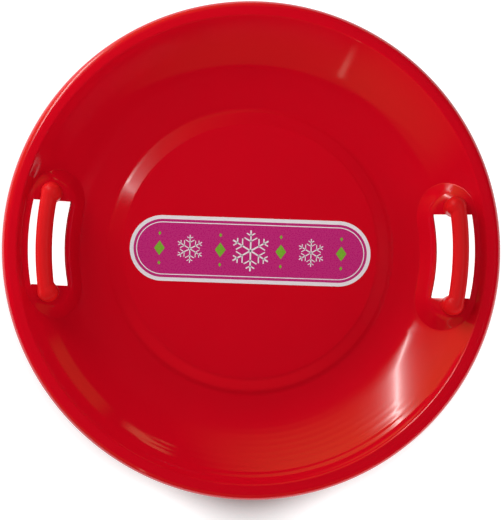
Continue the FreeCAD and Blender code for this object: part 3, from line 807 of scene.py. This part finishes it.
# place is the turn round the sled (0 is +X), the height angle and the distance; fade is the soft part of a
# lamp at its sides, its lower and its upper edge, as a share; haze is how far light dies away beside a tube;
# lights is what a lamp falls on, the sled unless it says so; only keeps it to plain light or to the gloss
lamps = [
    {"name": "paper lamp", "place": (90, 76, 8000), "size": (10000, 4000), "radiance": 4.5,
     "lights": "paper", "only": "light"},
    {"name": "near box", "place": (135, 42, 1200), "size": (500, 500), "radiance": 5.7, "only": "light"},
    {"name": "key box", "place": (135, 22, 2500), "size": (1500, 900), "radiance": 6.8, "only": "light"},
    {"name": "left box", "place": (180, 10, 2500), "size": (1800, 700), "radiance": 6.3, "only": "light"},
    {"name": "front box", "place": (270, 10, 2500), "size": (1800, 700), "radiance": 4, "only": "light"},
    {"name": "corner box", "place": (315, 10, 2500), "size": (1800, 700), "radiance": 5.7, "only": "light"},
    {"name": "right box", "place": (0, 52, 2500), "size": (1000, 1000), "radiance": 3.4, "only": "light"},
    {"name": "ceiling", "place": (90, 88, 2500), "size": (5000, 5000), "radiance": 0.49, "only": "light"},
    {"name": "tube", "place": (135.7, 29.8, 3580), "size": (600, 3700), "radiance": 6.5, "along": slant,
     "haze": 40, "fade": (0.1, 0.02, 0.2), "only": "gloss"},
    {"name": "glow of the tube", "place": (135.7, 29.8, 3600), "size": (1700, 3700), "radiance": 11,
     "along": slant, "haze": 160, "fade": (0.1, 0.02, 0.2), "only": "gloss"},
    {"name": "lit wall", "place": (126, 31, 3000), "size": (8400, 4200), "radiance": 0.72, "colour": warm,
     "fade": (0.9, 0.12, 0.95), "only": "gloss"},
    {"name": "front card", "place": (262, 18, 3000), "size": (9240, 2300), "radiance": 0.15, "colour": warm,
     "fade": (0.8, 0.7, 0.05), "only": "gloss"},
    {"name": "corner card", "place": (227, 17, 3000), "size": (2800, 2100), "radiance": 0.13, "colour": warm,
     "fade": (0.6, 0.15, 0.05), "only": "gloss"},
    {"name": "low card", "place": (38, 6, 3000), "size": (1390, 840), "radiance": 0.25, "colour": warm,
     "fade": (0.5, 0.1, 0.1), "only": "gloss"},
    {"name": "low lamp", "place": (61, 9, 3000), "size": (840, 350), "radiance": 1, "colour": (1, 0.85, 0.4),
     "fade": (0.6, 0.1, 0.3), "only": "gloss"},
    {"name": "slit", "place": (247, 17, 3000), "size": (130, 1720), "radiance": 1.8, "colour": (1, 0.9, 0.7),
     "fade": (0.8, 0.9, 0.1), "only": "gloss"},
]


def fadeLight(light, spec):  # dims a lamp towards its edges
    light.use_nodes = True
    light.node_tree.nodes.clear()
    place = addNode(light, "SeparateXYZ", {0: addNode(light, "NewGeometry").outputs["Parametric"]})
    across, up = place.outputs[0], place.outputs[1]
    sides, lower, upper = spec["fade"]
    share = within(light, [(across, 0, sides / 2), (across, 1, 1 - sides / 2),
                           (up, 0, lower), (up, 1, 1 - upper)])
    if "haze" in spec:
        away = calc(light, "ABSOLUTE", calc(light, "SUBTRACT", across, 0.5))
        fall = calc(light, "MULTIPLY", away, -spec["size"][0] / spec["haze"])
        share = calc(light, "MULTIPLY", share, calc(light, "EXPONENT", fall))
    glow = addNode(light, "Emission", {"Strength": share})
    addNode(light, "OutputLight", {"Surface": glow.outputs[0]})


def addLamp(spec):
    turn, height, distance = spec["place"]
    turn, height = math.radians(turn), math.radians(height)
    back = Vector((math.cos(height) * math.cos(turn), math.cos(height) * math.sin(turn), math.sin(height)))
    upright = Vector(spec.get("along", (0, 0, 1)))
    upright = (upright - upright.dot(back) * back).normalized()
    light = bpy.data.lights.new(spec["name"], "AREA")
    light.shape = "RECTANGLE"
    light.size, light.size_y = (side * mm for side in spec["size"])
    light.energy = spec["radiance"] * math.pi * light.size * light.size_y
    light.color = spec.get("colour", (1, 1, 1))
    if "fade" in spec:
        fadeLight(light, spec)
    lamp = bpy.data.objects.new(spec["name"], light)
    lamp.matrix_world = Matrix.Translation(back * distance * mm) @ Matrix(
        (upright.cross(back), upright, back)).transposed().to_4x4()
    bpy.context.scene.collection.objects.link(lamp)
    lamp.visible_glossy = spec.get("only") != "light"
    lamp.visible_diffuse = spec.get("only") != "gloss"
    lamp.visible_camera = False
    lamp.light_linking.receiver_collection = receivers[spec.get("lights", "sled")]


receivers = {"sled": bpy.data.collections.new("lit sled"), "paper": bpy.data.collections.new("lit paper")}
for piece in (dishPiece, rightGrip, leftGrip, screwPiece, labelPiece):
    receivers["sled"].objects.link(piece)
receivers["paper"].objects.link(floorPiece)
for spec in lamps:
    addLamp(spec)

skyLevel = 0.2
world = bpy.data.worlds.new("dim studio")
bpy.context.scene.world = world
world.use_nodes = True
world.node_tree.nodes.clear()
sky = addNode(world, "Background", {"Color": linear("#ffffff"), "Strength": skyLevel})
addNode(world, "OutputWorld", {"Surface": sky.outputs[0]})
world.cycles_visibility.glossy = False  # even light from all round, with no reflection of its own

view = {
    "distance": 2800,
    "aimHeight": 52,
    "swing": math.radians(-3.5),
    "tilt": math.radians(-2.72),
    "roll": math.radians(1.79),
    "sensor": 36,
    "focal": 2331.8,              # in pixels of the photograph's frame
    "imageSize": (502, 520),
    "opticalAxis": (252.58, 249.25),
}


def addCamera():
    side, up = math.sin(view["swing"]) * math.cos(view["tilt"]), math.sin(view["tilt"])
    back = Vector((side, up, math.cos(view["swing"]) * math.cos(view["tilt"])))
    right = Vector((0, 1, 0)).cross(back).normalized()
    axes = Matrix((right, back.cross(right), back)).transposed()
    axes = Matrix.Rotation(view["roll"], 3, "Z") @ axes
    lens = bpy.data.cameras.new("camera")
    longSide = max(view["imageSize"])
    lens.sensor_width = view["sensor"]
    lens.lens = view["focal"] * lens.sensor_width / longSide
    lens.shift_x = (view["imageSize"][0] / 2 - view["opticalAxis"][0]) / longSide
    lens.shift_y = (view["opticalAxis"][1] - view["imageSize"][1] / 2) / longSide
    lens.clip_end = 100  # metres
    camera = bpy.data.objects.new("camera", lens)
    target = Vector((0, 0, view["aimHeight"] * mm))
    camera.matrix_world = Matrix.Translation(target + axes.col[2] * view["distance"] * mm) @ axes.to_4x4()
    bpy.context.scene.collection.objects.link(camera)
    bpy.context.scene.camera = camera


addCamera()
bpy.context.scene.view_settings.view_transform = "Standard"
print("stage ready")
